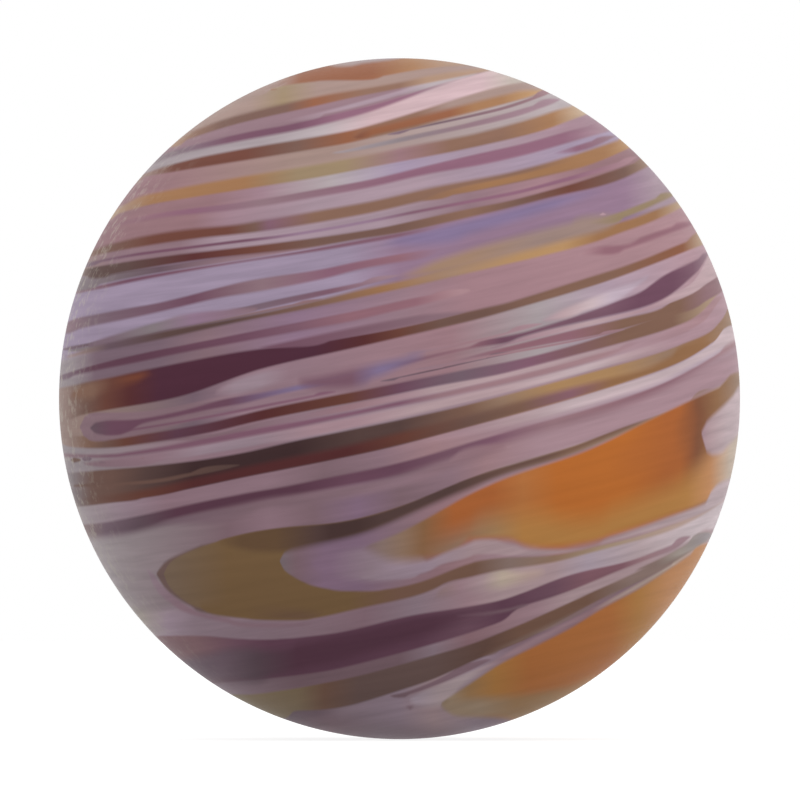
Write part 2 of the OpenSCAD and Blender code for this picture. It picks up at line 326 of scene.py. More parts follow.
      (-12, "dusty_pink"), (5, "shell"), (30, "shell"), (54, "pink_white"), (66, "shell"),
      (80, "dusty_pink")]),
    # bright glass over the rose line
    (1, 1, [(-75, -11.6, -11.6), (-60, -10.9, -12.2), (-45, -7.8, -9.3), (-30, -4.6, -6.7),
            (10, 3.7, 1.3), (20, 5.3, 3.6), (30, 7, 5.6), (40, 9.8, 8), (60, 14.8, 12.9),
            (75, 18.7, 16.2), (88, 25.5, 22), (95, 30, 30)],
     [(-45, "dim_mauve"), (-28, "mauve"), (-15, "rose_mauve"), (2, "dusty_pink"), (10, "shell"),
      (55, "shell"), (70, "dusty_pink"), (88, "rose")]),
    # rose line over the umber band
    (1.2, 1.2, [(-100, -16, -17), (-90, -16.5, -17.5), (-85, -16.5, -17.5), (-80, -15.8, -16.8),
                (-65, -13.4, -14.8), (-60, -12.2, -14), (-40, -8.2, -10), (-35, -7.5, -9.5),
                (-30, -6.8, -8.3), (-10, -2.9, -4.2), (-5, -2, -3.1), (0, -0.4, -1.9), (10, 1.2, -0.1),
                (15, 2.3, 0.7), (40, 8, 6.6), (45, 9.5, 7.6), (60, 13.7, 12), (65, 15, 13.5),
                (72, 17, 17)],
     [(-97, "dim_mauve"), (-85, "thistle"), (-40, "orchid"), (0, "orchid"), (12, "rose_mauve"),
      (60, "rose"), (70, "dusty_pink")]),
    # pale ring round the hook
    (1, 1.2, [(-94, -8.4, -8.4), (-92, -5.2, -11.6), (-88, -4, -13), (-82, -3.9, -13.2),
              (-76, -4.2, -11.4), (-70, -3.4, -9), (-60, -1.2, -6), (-50, 1.2, -3), (-42, 2.6, 2.6)],
     [(-60, "dim_mauve"), (-48, "mauve")]),
    # red-brown line with a dark heart at the left
    (1, 1, [(-97, -11, -14), (-92, -11, -14.5), (-90, -12.5, -14.6), (-85, -12.5, -14.6),
            (-80, -11.3, -13.9), (-75, -10.3, -13.2), (-60, -8, -10.8), (-40, -3.3, -6),
            (-35, -2, -5.2), (-5, 3.5, 0.5), (0, 4.5, 1.3), (10, 6.8, 3.9), (25, 9.7, 6),
            (30, 10.2, 7.2), (35, 11.5, 8.8), (50, 15, 12.4), (60, 18, 15), (75, 23.6, 18.8),
            (80, 25.6, 20.8), (85, 27.4, 23), (90, 30, 27), (94, 33, 31.5)],
     [(-97, "taupe"), (-91, "brown"), (-86, "cocoa"), (-80, "russet"), (-65, "deep_plum"),
      (-40, "maroon"), (-15, "russet"), (0, "plum"), (18, "dusk"), (38, "orchid"), (65, "brown"),
      (80, "brown"), (94, "sand")]),
    # thin plum thread over it
    (0.8, 0.8, [(-86, -10, -10.6), (-80, -9, -9.6), (-70, -7.6, -8.4), (-60, -6, -6.6),
                (-30, 0.4, -0.4), (-25, 1, 0.3), (-18, 2.2, 2.2)], [(-80, "thistle"), (-20, "orchid")]),
    # brown line at the right
    (1, 1, [(14, 10, 10), (20, 12.2, 11.5), (25, 13.8, 12.5), (30, 14.8, 13), (35, 15.8, 14.5),
            (45, 18.8, 16.5), (55, 21.3, 18), (60, 22, 18.7), (65, 23.3, 20.7), (75, 25.8, 23),
            (80, 28.5, 24.5), (85, 32, 25.8), (90, 34.5, 29), (94, 38, 31)],
     [(14, "mauve"), (30, "deep_rose"), (50, "deep_rose"), (65, "brown"), (82, "brown"),
      (90, "dusk_rose")]),
    # pale stripe over it
    (0.8, 0.8, [(26, 14.6, 14.6), (30, 15.8, 15), (40, 19.3, 17.6), (50, 21.3, 20.2), (60, 24, 22.2),
                (70, 26, 24.8), (75, 28, 26.2), (85, 33.4, 30.4), (90, 40, 33.6), (95, 44, 37)],
     [(26, "mauve"), (40, "dusty_pink"), (55, "shell"), (72, "dusty_pink"), (84, "shell")]),
    # the plum line, its hook at the left and its lens at the right
    (1.2, 1.2, [(-90.6, -8.6, -8.6), (-90, -7.4, -9.8), (-88, -6.5, -10.5), (-85, -6.2, -11),
                (-82, -6.2, -10.8), (-80, -6.3, -10.2), (-78, -6.2, -9.2), (-75, -6, -7.3),
                (-65, -4, -5.2), (-60, -2.8, -4.2), (-55, -1, -3), (-50, 0.3, -2), (-45, 1, -1.5),
                (-40, 1.7, 0.3), (-35, 2.7, 1.5), (-15, 6.8, 5.2), (-10, 8.3, 6.5), (0, 10.5, 9.8),
                (15, 14, 13.4), (20, 15, 14.4), (25, 17.3, 15.5), (30, 17.9, 16), (35, 18.8, 18),
                (40, 20.5, 19.5), (50, 23.5, 21.5), (55, 25.2, 23), (65, 28.8, 25), (70, 31, 26),
                (75, 34.5, 27.8), (78, 36.6, 29.5), (80, 37.7, 31), (82, 38.4, 32.3), (85, 39.5, 35.3),
                (88, 41, 38), (91, 43, 43)],
     [(-90, "shadow"), (-84, "plum"), (-50, "plum"), (-30, "violet"), (-18, "violet"), (0, "thistle"),
      (20, "deep_rose"), (30, "plum"), (45, "thistle"), (60, "thistle"), (70, "plum"), (80, "plum"),
      (86, "thistle"), (91, "mauve")]),
    # bright patch over the lens
    (2, 1.5, [(38, 21.6, 21.6), (46, 25.6, 23), (54, 28.6, 25.6), (62, 31.6, 28.2), (70, 34.6, 33),
              (76, 37, 37)],
     [(38, "dim_lilac"), (48, "shell"), (56, "pink_white"), (62, "pale_lilac"), (74, "lilac")]),
    # grey threads beside it
    (0.6, 0.6, [(-6, 5, 5), (0, 6.5, 6), (5, 7.4, 6.9), (25, 12, 11.5), (34, 13.7, 13.7)],
     [(-6, "dusk"), (10, "shadow"), (34, "dusk")]),
    # pale threads beside it
    (0.6, 0.6, [(4, 8.4, 8.4), (14, 10.4, 9.7), (25, 12.6, 12), (50, 16.9, 16.2), (58, 18.4, 17.8),
                (66, 20.2, 20.2)], [(4, "mauve"), (25, "rose_mauve")]),
    (0.7, 0.7, [(0, 13, 13), (10, 14.6, 13.8), (20, 16.4, 15.6), (32, 19.4, 18.6), (42, 21.9, 21.9)],
     [(0, "mauve"), (20, "rose_mauve"), (40, "dusty_pink")]),
    # violet wash over the middle of it
    (4, 4, [(-30, 5, 5), (-20, 7, 3), (-8, 10, 6), (2, 12, 10), (8, 13, 13)],
     [(-14, "thistle"), (-6, "violet")]),
    # the long dark streak
    (1.2, 1, [(-100, 3, -6.5), (-95, 4, -5.3), (-90, 5, -4), (-85, 5.8, -3), (-70, 9.3, -1),
              (-65, 10.2, 0.2), (-60, 11.3, 1.7), (-55, 12.2, 3.3), (-45, 14, 7.5), (-40, 14.8, 9),
              (-30, 15.5, 11.3), (-25, 16.3, 12.2), (-20, 17.3, 13.2), (0, 20.7, 17.9),
              (20, 25.6, 22.3), (25, 26.3, 23.7), (30, 27.5, 25.2), (35, 28.8, 26.5), (55, 35.2, 32.3),
              (60, 37, 34), (65, 38.3, 36), (70, 40, 37.5), (85, 46.3, 43.5), (92, 49.5, 46.5)],
     [(-99, "taupe"), (-92, "cocoa"), (-86, "russet"), (-79, "maroon"), (-70, "wine"), (-25, "wine"),
      (-10, "maroon"), (0, "russet"), (12, "cocoa"), (25, "cocoa"), (45, "brown"), (62, "brown"),
      (83, "clay"), (90, "sand")]),
    # bright glass under the wide part of it
    (2, 2.5, [(-56, 1.4, 1.4), (-50, 4.6, 1), (-45, 6.6, 1.6), (-40, 7.8, 3.2), (-34, 9, 5),
              (-26, 10.6, 9)],
     [(-56, "mauve"), (-48, "dim_lilac"), (-40, "dim_lilac"), (-32, "mauve")]),
    # rust on the left end of it
    (2.5, 4, [(-98, 0.5, 0.5), (-93, 4, -0.5), (-88, 5.4, 1.5), (-83, 6.3, 3), (-76, 7.6, 5),
              (-68, 9.4, 9.4)], [(-90, "brown"), (-84, "russet"), (-76, "rust"), (-68, "maroon")]),
    # dusky fringe over it
    (1.5, 1, [(-45, 14.2, 14.2), (-30, 16.8, 15), (-20, 19.5, 17), (-10, 21, 18.8), (0, 23.5, 20.5),
              (10, 24.8, 22.8), (20, 25.8, 25.2), (26, 26.6, 26.6)],
     [(-45, "plum"), (-20, "thistle"), (20, "dim_mauve")]),
    # dark red line
    (0.9, 1.2, [(-100, 6.6, 5.4), (-96, 8.3, 7), (-90, 9.8, 7.8), (-75, 13.2, 10.8), (-70, 14.4, 12),
                (-65, 15, 13.2), (-25, 23.2, 20.8), (-15, 25, 22), (-10, 26, 23.2), (-5, 27.2, 25),
                (5, 29.5, 27), (10, 30.5, 28), (20, 32, 31)],
     [(-98, "dusk"), (-90, "deep_plum"), (-75, "deep_plum"), (-45, "plum"), (-30, "thistle"),
      (-15, "deep_rose"), (5, "deep_rose"), (18, "rose")]),
    # grey-tan thread
    (0.8, 0.8, [(-97, 14.2, 13.8), (-85, 16.2, 15.5), (-75, 18, 17.3), (-65, 20.6, 20), (-40, 26, 25.2),
                (-30, 28, 27), (-22, 29, 29)], [(-97, "slate"), (-25, "dusk_rose")]),
    # dark grey line
    (0.8, 0.8, [(-98, 15, 14.2), (-95, 15.5, 14.5), (-80, 18.3, 17), (-75, 19.5, 18), (-65, 22, 20.7),
                (-55, 24, 22.6), (-45, 26.8, 25), (-40, 28, 26), (-25, 31, 29.6), (-15, 33, 31.5),
                (-10, 34.2, 32.8), (0, 36, 36)],
     [(-98, "dusk"), (-88, "shadow"), (-70, "deep_plum"), (-40, "dusk"), (-20, "thistle"),
      (-5, "mauve")]),
    # dusky fringe over the brown line
    (1.4, 1, [(-90, 16.4, 15), (-80, 20, 17), (-70, 22.6, 19.6), (-60, 25, 21.6), (-50, 26, 23.5),
              (-42, 26.6, 25.5)],
     [(-85, "dusk"), (-72, "slate"), (-60, "heather"), (-42, "dim_mauve")]),
    # brown line that turns to ochre
    (1.5, 1.2, [(-98, 12.6, 11.8), (-95, 13.5, 12.5), (-90, 15.2, 13.6), (-82, 17.2, 14.7),
                (-75, 18.6, 16.1), (-45, 24.2, 22.8), (-40, 25, 23.6), (-30, 27, 25.3),
                (-20, 29.5, 27.3), (-10, 32.3, 30), (0, 33.8, 31.8), (5, 35.4, 33), (20, 39.8, 36.5),
                (50, 48, 43.5), (58, 50.4, 45.8), (61, 50.6, 47.5), (65, 51.3, 48.6), (70, 53.2, 50.2),
                (75, 55.4, 52), (80, 57, 54.8), (82, 58, 55.5), (86, 60, 58)],
     [(-96, "taupe"), (-85, "shadow"), (-68, "walnut"), (-50, "walnut"), (-35, "cocoa"), (-20, "brown"),
      (-5, "ochre"), (15, "tan"), (35, "honey"), (48, "honey"), (58, "ochre"), (75, "ochre"),
      (84, "sand")]),
    # tan over the right part of it
    (3.5, 3, [(-8, 33, 33), (0, 36.5, 34), (10, 39.8, 36), (20, 43.4, 39), (30, 46.4, 41),
              (50, 51.6, 46.5), (60, 53.6, 49.5), (68, 54, 54)],
     [(-5, "rose_mauve"), (10, "tan"), (20, "tan"), (40, "taupe")]),
    # rose line at the right
    (1.5, 1.5, [(52, 42, 42), (60, 44.5, 42), (65, 44.8, 43), (70, 47, 45), (80, 50.8, 48.8),
                (85, 52, 50.6)], [(52, "rose"), (60, "deep_rose")]),
    # olive line at the right
    (1.2, 1.2, [(54, 51, 51), (60, 53, 51), (65, 54.5, 52.5), (70, 56.5, 54.3), (75, 59, 57),
                (80, 60.6, 59.4)], [(54, "taupe"), (64, "khaki")]),
    # plum line above the lavender
    (1, 1.2, [(-99, 21, 19), (-95, 23.5, 20.5), (-90, 24.5, 21.3), (-80, 26.2, 23), (-70, 28, 25.3),
              (-65, 28.9, 26.5), (-55, 31.8, 29), (-50, 33, 30), (-45, 34.5, 30.5), (-40, 35, 31.3),
              (-25, 37, 34.3), (-20, 38, 35.2), (-15, 39.5, 36.8), (-10, 40.3, 38.3), (0, 42, 40),
              (5, 43, 40.5), (14, 44, 44)],
     [(-98, "dim_mauve"), (-90, "dusk"), (-60, "plum"), (-40, "dim_mauve"), (-20, "orchid"),
      (0, "deep_rose"), (12, "heather")]),
    # blue lilac at the right
    (3, 4, [(-12, 43.5, 43.5), (0, 47.4, 44), (10, 49, 45), (20, 51.8, 47.6), (40, 57.4, 53.4),
            (50, 59.8, 56.6), (60, 62.4, 60), (68, 64, 64)],
     [(-12, "lavender"), (0, "violet"), (45, "violet"), (66, "heather")]),
    # painted glint: a small pale spot of reflected light on the heather
    (0.7, 0.7, [(58.2, 53.6, 53.6), (59.3, 54.3, 53.1), (60.6, 53.8, 53.8)], [(58, "dusty_pink")]),
    # dark violet line
    (0.9, 1, [(-97, 31.4, 30.6), (-92, 32.5, 31.5), (-88, 33, 31.8), (-85, 33.8, 32.6), (-80, 35, 34),
              (-65, 37.8, 36.6), (-50, 39.8, 39), (-45, 40.5, 39.8), (-30, 42.6, 41.8), (-20, 45, 43.5),
              (-10, 46.5, 45), (0, 48, 47.3), (5, 49, 48), (10, 50.3, 49.2), (16, 51, 51)],
     [(-97, "dim_mauve"), (-80, "plum"), (-50, "thistle"), (0, "thistle"), (14, "heather")]),
    # grey glass over it
    (1, 1, [(-97, 35, 31.6), (-88, 36, 33.2), (-80, 37.4, 35.2), (-70, 38.6, 37), (-50, 41.6, 40),
            (-40, 42.8, 41.2), (-30, 43.6, 42.8), (-20, 45.2, 45.2)],
     [(-97, "slate"), (-70, "shadow"), (-50, "dim_mauve"), (-25, "mauve")]),
    # brown and plum band
    (1, 1.2, [(-97, 37.4, 35), (-92, 38.5, 35.8), (-90, 38.2, 35.2), (-85, 39.3, 36.2), (-75, 41, 37.8),
              (-65, 42, 39.7), (-55, 43, 41), (-30, 46, 43.4), (-25, 46.7, 44), (-10, 48.8, 46.5),
              (-5, 49.8, 47.8), (0, 50.8, 48), (15, 54.5, 51.5), (20, 55.3, 53), (30, 57, 55),
              (35, 58.3, 56.2), (45, 61.2, 59.2), (50, 62.3, 60.2), (55, 64, 61), (60, 65.9, 62.2),
              (65, 67.6, 64), (70, 69.2, 66.2), (76, 72, 70)],
     [(-96, "taupe"), (-90, "walnut"), (-80, "walnut"), (-60, "maroon"), (-42, "russet"),
      (-25, "cocoa"), (0, "cocoa"), (20, "brown"), (35, "cocoa"), (50, "russet"), (66, "cocoa"),
      (76, "tan")]),
    # thin plum line between pale stripes
    (0.8, 0.8, [(-96, 39, 38.4), (-88, 40.5, 39.8), (-80, 42.2, 41.5), (-75, 43, 42), (-47, 46.4, 45.6),
                (-40, 47, 46.1), (-35, 47.5, 46.8), (-20, 49.8, 49), (-10, 51.6, 50.9), (5, 55, 54.2),
                (20, 58, 57), (30, 59.6, 58.6), (35, 60.8, 59.8), (40, 62, 61), (60, 67.7, 66.3),
                (65, 69.6, 68), (70, 71, 71)],
     [(-96, "dusk"), (-75, "plum"), (-45, "plum"), (-28, "heather"), (-10, "heather"), (4, "thistle"),
      (20, "orchid"), (50, "orchid"), (68, "rose_mauve")]),
    # upper umber band
    (1.6, 1.2, [(-92, 43, 41.6), (-89, 44, 42), (-80, 46.5, 43.7), (-75, 47.8, 44.8), (-60, 49.8, 46.5),
                (-55, 50.2, 47.5), (-50, 50.2, 47.4), (-40, 52.2, 48.6), (-30, 53.5, 50.1),
                (-10, 57, 53.8), (-5, 58, 54.6), (5, 60.7, 57.3), (10, 61.7, 58.5), (20, 64, 60.5),
                (30, 65.3, 62), (35, 66.5, 63.2), (50, 70.8, 66.4), (55, 72.5, 67.9), (60, 74.5, 69.9),
                (65, 76, 72.5), (72, 79, 76)],
     [(-92, "brown"), (-86, "cocoa"), (-72, "russet"), (-50, "russet"), (-42, "cocoa"),
      (-38, "thistle"), (-25, "brown"), (38, "brown"), (52, "ochre"), (62, "ochre"), (70, "honey")]),
    # golden foot of it at the right
    (1.2, 1, [(4, 57.2, 57.2), (15, 61, 59.6), (30, 64, 62), (45, 67.6, 65.5), (55, 70.6, 68.5),
              (65, 74.6, 72.5), (72, 77, 77)],
     [(4, "brown"), (25, "ochre"), (60, "ochre"), (70, "honey")]),
    # rose line at the upper left
    (1, 1.2, [(-87, 50.4, 50), (-80, 52.3, 51), (-75, 53.5, 51.8), (-70, 54.5, 53), (-65, 55.2, 53.8),
              (-50, 56.5, 54.7), (-45, 57.5, 55.3), (-20, 61.5, 59.2), (-10, 63.5, 61.3),
              (-5, 64.5, 62.2), (5, 67.3, 65), (10, 68.3, 65.9), (20, 70.8, 67.4), (25, 72, 68.3),
              (35, 74, 70.6), (40, 75.3, 72), (50, 78.5, 75), (55, 80, 76.5), (62, 81, 79)],
     [(-87, "dusk_rose"), (-60, "orchid"), (-40, "dim_mauve"), (0, "orchid"), (48, "orchid"),
      (60, "mauve")]),
    # second mauve line at the upper right
    (1, 1.2, [(42, 71, 71), (50, 73, 71.5), (53, 74.5, 72.5), (57, 75.8, 73.5), (64, 77.5, 77)],
     [(42, "lavender"), (52, "orchid"), (64, "dim_mauve")]),
    # ochre band
    (1.6, 1, [(-88, 53, 52), (-83, 55.5, 54), (-80, 57.5, 55.2), (-75, 59.5, 56.3), (-70, 60.3, 57.5),
              (-65, 61.8, 58.2), (-45, 65.3, 61), (-25, 68, 64.2), (-20, 69, 65.2), (-5, 72, 68.3),
              (5, 74.3, 70), (15, 75.8, 71.8), (20, 76.8, 73), (25, 78, 74), (35, 80.8, 76.5),
              (40, 82.3, 77.5), (45, 84, 79.5), (50, 86, 81.5), (56, 87, 84)],
     [(-87, "sand"), (-80, "tan"), (-72, "ochre"), (-45, "ochre"), (-30, "khaki"), (-16, "khaki"),
      (0, "dusk_rose"), (15, "brown"), (30, "brown"), (45, "ochre"), (54, "sand")]),
    # grey line under the russet band
    (0.9, 0.9, [(-20, 71.6, 71.6), (-15, 72.5, 71.6), (-10, 74, 72.8), (-5, 75.2, 73.7), (15, 79.3, 78),
                (20, 80.3, 79), (30, 83, 81.2), (35, 84.5, 82.6), (40, 86, 84.3), (46, 88, 87)],
     [(-20, "grey_pearl"), (0, "slate"), (20, "dim_mauve"), (44, "mauve")]),
    # russet band
    (1.2, 1, [(-80, 64.6, 62.6), (-75, 66, 65), (-70, 67.8, 66), (-60, 70.5, 67.2), (-55, 71.5, 68.3),
              (-20, 77.2, 73.4), (-15, 78, 74.6), (-10, 79.3, 75.7), (5, 83.7, 79.3), (10, 85.4, 80.2),
              (15, 87.3, 81.7), (30, 92, 86.3), (35, 93, 87.5), (40, 93, 88.6)],
     [(-78, "taupe"), (-66, "russet"), (-45, "russet"), (-30, "cocoa"), (-15, "clay"), (-6, "brown"),
      (5, "brown"), (15, "taupe")]),
    # brighter foot of the russet band
    (2, 1, [(-14, 76.2, 75.6), (-8, 79, 77), (0, 81, 78.6), (20, 86, 83.3), (32, 89.4, 86.6),
            (37, 90.6, 88), (42, 91, 90)],
     [(-14, "russet"), (-8, "clay"), (15, "clay"), (22, "ochre"), (30, "ochre"), (40, "honey")]),
    # thin dark line under it
    (0.7, 0.7, [(-4, 77, 77), (2, 78.7, 78.2), (25, 84, 83), (30, 85.2, 84.3), (35, 86.6, 85.8),
                (40, 88.5, 87.6), (44, 90.8, 89.6)], [(-4, "dusk"), (10, "shadow"), (44, "dusk_rose")]),
    # rose streak
    (1, 1.4, [(-74, 68.6, 68.2), (-70, 71.3, 70), (-65, 73.2, 71.7), (-60, 74.5, 72.8),
              (-45, 77.8, 75.6), (-40, 79, 76.7), (-35, 79.3, 77.3), (-30, 80.4, 78.2), (-25, 82, 79.5),
              (-15, 84.1, 81.7), (-10, 85.2, 83.2), (-5, 86.6, 84.9), (0, 88, 87), (10, 91.8, 90.7),
              (20, 94.8, 94.4), (26, 96.5, 96)],
     [(-74, "slate"), (-62, "dusk"), (-50, "plum"), (-30, "plum"), (-18, "orchid"), (5, "orchid"),
      (18, "dim_mauve")]),
    # bright lower side of the mauve
    (1, 1, [(-34, 81, 81), (-22, 84.2, 83), (-12, 86.4, 85), (0, 89.9, 88.6), (10, 93.2, 91.8),
            (15, 94.5, 93.4), (22, 96, 95)],
     [(-34, "dim_mauve"), (-14, "dim_lilac"), (0, "dim_lilac"), (10, "pearl")]),
    # ochre streak at the top
    (1.6, 1, [(-68, 74.8, 73.6), (-63, 77.5, 75.8), (-60, 79, 76.8), (-50, 82.5, 79.9),
              (-45, 83.3, 81.3), (-25, 88.3, 85.2), (-20, 89.3, 86.8), (-15, 90, 88), (0, 92.3, 90.8),
              (5, 94, 91.5), (10, 95, 93), (24, 97, 95.3), (30, 98, 97)],
     [(-66, "tan"), (-60, "brown"), (-52, "cocoa"), (-33, "cocoa"), (-25, "clay"), (-10, "brown"),
      (0, "brown"), (8, "tan")]),
    # rust at the very top
    (1.2, 1, [(-44, 90.4, 88.6), (-38, 110, 91), (-35, 110, 91.8), (-25, 110, 93), (-20, 110, 93.5),
              (-12, 110, 93.2), (-5, 110, 94.2), (5, 110, 96.5), (10, 110, 97.2), (26, 110, 98.5)],
     [(-36, "taupe"), (-29, "clay"), (-8, "clay"), (4, "ochre"), (14, "tan")]),
    # pale gap above the rust
    (1, 1.5, [(-22, 99, 99), (-18, 110, 97.4), (-12, 110, 97.9), (0, 110, 100)],
     [(-24, "taupe"), (0, "grey_pearl")]),
]

# Small specks in the glass: place, half width, half height and colour, all with the same soft edge
SPECK_SOFT = 0.8
SPECKS = [(-95, -18, 1.5, 0.8, "cocoa"), (-91.5, -17.6, 1.3, 0.8, "dusk"), (-87, -18.6, 1.2, 0.5, "dusk"),
          (-75, -17.3, 1.2, 0.4, "dusk_rose"), (-37, 90.6, 1.2, 0.6, "clay"), (79, 11, 0.6, 1.4, "clay")]

# How many layers one node group holds
LAYERS_A_GROUP = 8

# Where the edges of a layer rise, they rise from WAIT to WAIT + 1. That is always above the place
# across, so that the lesser of the two is the place itself.
WAIT = 10

# An edge that runs past a station within this distance of its neighbours' line is pulled halfway to it
NEARLY_STRAIGHT = 0.6

# Upper edge of every field, out of reach above the ball
FIELD_TOP = 350
FIELD_TOP_SOFT = 100

# From here on lengths are in ball radii. The noise that the swirl wanders by has this strength, from
# none at the first depth to all of it at the second.
WANDER = 0.8
WANDER_DEPTHS = (0.02, 0.9)
WANDER_SCALE = 1.6

# Fine waver of the swirl's height, in threads with the slope and bend of its layers: how much, and how
# fast it changes across, upwards and in depth
WAVER = 0.003
WAVER_ACROSS = 3.5
WAVER_UP = 50.0
WAVER_DEEP = 3.0
THREAD_SLOPE = 0.2
THREAD_BEND = 0.05

# Contrast of the lighter and darker threads: what all glass has, and how it grows with the blue in it
CONTRAST = 0.12
CONTRAST_BY_BLUE = 1.2

# Pale fringe along the left rim: frosted scuffs, and with them painted haze, a painted reflection of the
# white surroundings where the rim turns away. Each of three pairs says where it begins and where it is at
# its thickest: across to the left, in depth from the front and in depth from behind. The noise that breaks
# it up lets none through below the first of its two values and all above the second.
HAZE_AND_SCUFFS = 0.45
HAZE_AND_SCUFFS_ACROSS = (-0.4, -0.95)
HAZE_AND_SCUFFS_FROM_FRONT = (-0.5, -0.15)
HAZE_AND_SCUFFS_FROM_BEHIND = (0.45, 0.0)
HAZE_AND_SCUFFS_LET_THROUGH = (0.5, 0.66)
HAZE_AND_SCUFFS_SCALE = 26.0
HAZE_AND_SCUFFS_ROUGHNESS = 0.7

# Satin surface: how rough it is, how much rougher the grain makes it, and the grain itself
SATIN = 0.32
SATIN_BY_GRAIN = 0.12
GRAIN_SCALE = 60.0
GRAIN_DEPTH = 0.0025
GRAIN_STRENGTH = 0.08

# How much of the surroundings the glass mirrors
MIRRORED = 0.01

# Steps of the ball's mesh along each edge of the cube that it is blown up from
BALL_STEPS = 120

# Chips and pits in the surface: direction from the centre, radius and depth
NICK = (Vector((-0.36, -0.16, 0.92)).normalized(), 0.035, 0.006)
PIT_COUNT = 70
PIT_RADII = (0.01, 0.022)
PIT_DEPTHS = (0.0006, 0.0016)

# Light from the horizon and from overhead
HORIZON = 0.8
OVERHEAD = 2.0

# White paper, lit through from below as well, so that the ball's underside isn't black. It reaches
# PAPER_REACH ball radii each way.
WHITE = (1, 1, 1, 1)
PAPER = 0.22
PAPER_GLOW = 0.35
PAPER_SEEN = 0.85
PAPER_REACH = 40

# The photograph looks straight along +Y through a long lens. The sensor is in millimetres, and the
# other lengths are in metres or pixels.
DISTANCE = 0.8
NEAREST_SEEN = 0.01
SENSOR = 36.0
PHOTO_WIDTH = 800
BALL_RADIUS_PX = 340.5
BALL_CENTRE_PX = (399.5, 398.7)


def linear(name):
    """A colour of the palette as the render takes it: sRGB decoded, and opaque."""
    return [pow((c / 255 + 0.055) / 1.055, 2.4) for c in PALETTE[name]] + [1.0]


def share(across):
    """The place across as a share of the ball's width."""
    return (across / 100 + 1) / 2


class Tree:
    """Adds nodes to a node tree."""

    def __init__(self, node_tree):
        self.nodes = node_tree.nodes
        self.links = node_tree.links

    def fill(self, socket, value):
        if isinstance(value, bpy.types.NodeSocket):
            self.links.new(value, socket)
        else:
            socket.default_value = value

    def add(self, kind, output=0, settings=(), **inputs):
        """Adds a node and returns one of its outputs. An input's name has _ for a space."""
        node = self.nodes.new(kind)
        for name, value in settings:
            setattr(node, name, value)
        for name, value in inputs.items():
            self.fill(node.inputs[name.replace("_", " ")], value)
        return node.outputs[output]

    def math(self, operation, *values):
        node = self.nodes.new("ShaderNodeMath")
        node.operation = operation
        for socket, value in zip(node.inputs, values):
            self.fill(socket, value)
        return node.outputs[0]

    def vector_math(self, operation, *values):
        node = self.nodes.new("ShaderNodeVectorMath")
        node.operation = operation
        sockets = [node.inputs[0], node.inputs["Scale" if operation == "SCALE" else 1], node.inputs[2]]
        for socket, value in zip(sockets, values):
            self.fill(socket, value)
        return node.outputs["Value" if operation == "DOT_PRODUCT" else "Vector"]

    def split(self, vector):
        """The X, Y and Z of a vector."""
        return self.add("ShaderNodeSeparateXYZ", Vector=vector).node.outputs

    def noise(self, place, scale, detail, roughness=0.5, output="Fac"):
        return self.add("ShaderNodeTexNoise", output, Vector=place, Scale=scale, Detail=detail,
                        Roughness=roughness)

    def smooth(self, value, start, end, to=1.0):
        """Rises smoothly from 0 to its last value as the value given goes from start to end."""
        return self.add("ShaderNodeMapRange", settings=[("interpolation_type", "SMOOTHSTEP")], Value=value,
                        From_Min=start, From_Max=end, To_Max=to)

    def ramp(self, across, colours):
        """The colour at a place across, blended between the stations (across, name)."""
        node = self.nodes.new("ShaderNodeValToRGB")
        elements = node.color_ramp.elements
        elements.remove(elements[-1])
        for i, (station, name) in enumerate(colours):
            position = min(max(share(station), 0), 1)
            element = elements.new(position) if i else elements[0]
            element.position = position
            element.color = linear(name)
        self.fill(node.inputs["Fac"], across)
        return node.outputs["Color"]

    def edges(self, across, stations):
        """Three smooth functions of the place across, through the columns of the stations."""
        node = self.nodes.new("ShaderNodeVectorCurve")
        node.mapping.use_clip = False
        node.mapping.extend = "HORIZONTAL"
        for i in range(3):
            points = node.mapping.curves[i].points
            rows = [(share(row[0]), row[i + 1]) for row in stations]
            points[0].location = rows[0]
            points[1].location = rows[-1]
            for row in rows[1:-1]:
                points.new(*row)
            for point in points:
                point.handle_type = "AUTO_CLAMPED"
        node.mapping.update()
        self.fill(node.inputs["Vector"], across)
        return node.outputs[0]

    def smooth_steps(self, vector, low, high):
        """Each part of the vector rises smoothly from low to high as it goes from 0 to 1."""
        node = self.nodes.new("ShaderNodeMapRange")
        node.data_type = "FLOAT_VECTOR"
        node.interpolation_type = "SMOOTHSTEP"
        sockets = {socket.identifier: socket for socket in node.inputs}
        self.fill(sockets["Vector"], vector)
        for name, value in (("From_Min", 0), ("From_Max", 1), ("To_Min", low), ("To_Max", high)):
            self.fill(sockets[name + "_FLOAT3"], (value, value, value))
        return node.outputs["Vector"]

    def lay(self, mask, under, glass):
        """Lays glass over what is under it, where the mask is 1."""
        node = self.nodes.new("ShaderNodeMix")
        node.data_type = "RGBA"
        colours = [socket for socket in node.inputs if socket.type == "RGBA"]
        for socket, value in zip([node.inputs[0]] + colours, (mask, under, glass)):
            self.fill(socket, value)
        return [socket for socket in node.outputs if socket.type == "RGBA"][0]

    def is_seen(self):
        """1 for camera, glossy and transmission rays, which see the white surroundings."""
        path = self.nodes.new("ShaderNodeLightPath").outputs
        seen = self.math("MAXIMUM", path["Is Camera Ray"], path["Is Glossy Ray"])
        return self.math("MAXIMUM", seen, path["Is Transmission Ray"])


def settled(edges):
    """The stations of a streak, with the unsteadiness of reading them taken out in two passes."""
    for _ in range(2):
        inner = [edges[0]]
        for before_it, station, after_it in zip(edges, edges[1:], edges[2:]):
            t = (station[0] - before_it[0]) / (after_it[0] - before_it[0])
            heights = []
            for k in (1, 2):
                off = before_it[k] * (1 - t) + after_it[k] * t - station[k]
                heights.append(station[k] + (off / 2 if abs(off) < NEARLY_STRAIGHT else 0))
            inner.append((station[0], *heights))
        edges = inner + [edges[-1]]
    return edges


